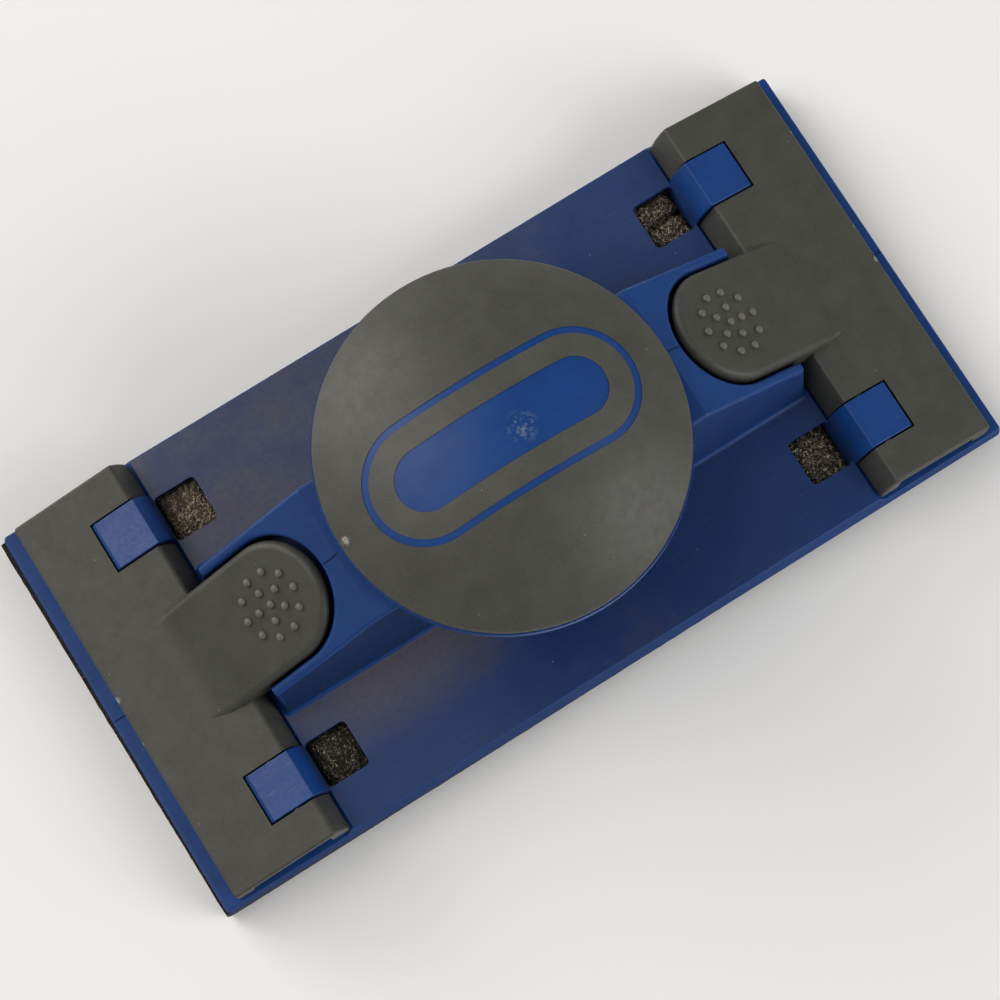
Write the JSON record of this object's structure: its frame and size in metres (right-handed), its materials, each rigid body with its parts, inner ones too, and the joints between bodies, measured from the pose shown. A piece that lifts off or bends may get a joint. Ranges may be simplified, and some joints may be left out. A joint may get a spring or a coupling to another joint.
{
  "type": "magnetic glass cleaner",
  "caption": "Hand-held half of a magnetic glass cleaner: rectangular pad plate with a raised spine, a round domed knob and a spring-loaded clamp at each end.",
  "frame": {"origin": "middle of the pad's underside, where the pad rests on the glass", "axes": "X along the plate through both clamps, Y across it, +Z away from the glass, up through the knob"},
  "size_m": [0.1606, 0.0776, 0.0539],
  "materials": {
    "blue_plastic": "semi-gloss injection moulding",
    "gray_plastic": "matt, finely textured injection moulding",
    "tray_plastic": "matt moulding",
    "yoke_steel": "zinc-plated sheet",
    "magnet_nickel": "nickel plating",
    "stainless": "drawn stainless steel",
    "seal_rubber": "matt rubber",
    "hook_tape": "nylon hook tape",
    "pad_fibre": "non-woven scouring fibre"
  },
  "bodies": {
    "base": {"base_shell": "blue_plastic", "sole_plate": "blue_plastic", "knob_body": "blue_plastic", "knob_inlay": "blue_plastic", "knob_cap": "gray_plastic", "knob_band": "gray_plastic", "magnet_tray": "tray_plastic", "yoke_plate": "yoke_steel", "magnet_1": "magnet_nickel", "magnet_2": "magnet_nickel", "magnet_3": "magnet_nickel", "magnet_4": "magnet_nickel", "hinge_pin_left": "stainless", "hinge_pin_right": "stainless", "sole_screws": "stainless", "knob_screws": "stainless", "lever_spring_left": "stainless", "lever_spring_right": "stainless", "knob_gasket": "seal_rubber", "bay_seal": "seal_rubber", "hook_strip_front": "hook_tape", "hook_strip_back": "hook_tape", "hook_strip_left": "hook_tape", "hook_strip_right": "hook_tape", "scrub_pad": "pad_fibre"},
    "left_clamp": {"clamp_left": "gray_plastic"},
    "right_clamp": {"clamp_right": "gray_plastic"}
  },
  "joints": [
    {"name": "clamp_left_hinge", "type": "hinge", "parent": "base", "child": "left_clamp", "pos_m": [-0.0602, 0, 0.0142], "axis": [0, 1, 0], "range_deg": [0, 10], "stiffness_Nm_per_rad": 0.24, "springref_deg": -13.18, "deforming": ["lever_spring_left"]},
    {"name": "clamp_right_hinge", "type": "hinge", "parent": "base", "child": "right_clamp", "pos_m": [0.0602, 0, 0.0142], "axis": [0, -1, 0], "range_deg": [0, 10], "stiffness_Nm_per_rad": 0.24, "springref_deg": -13.18, "deforming": ["lever_spring_right"]}
  ]
}
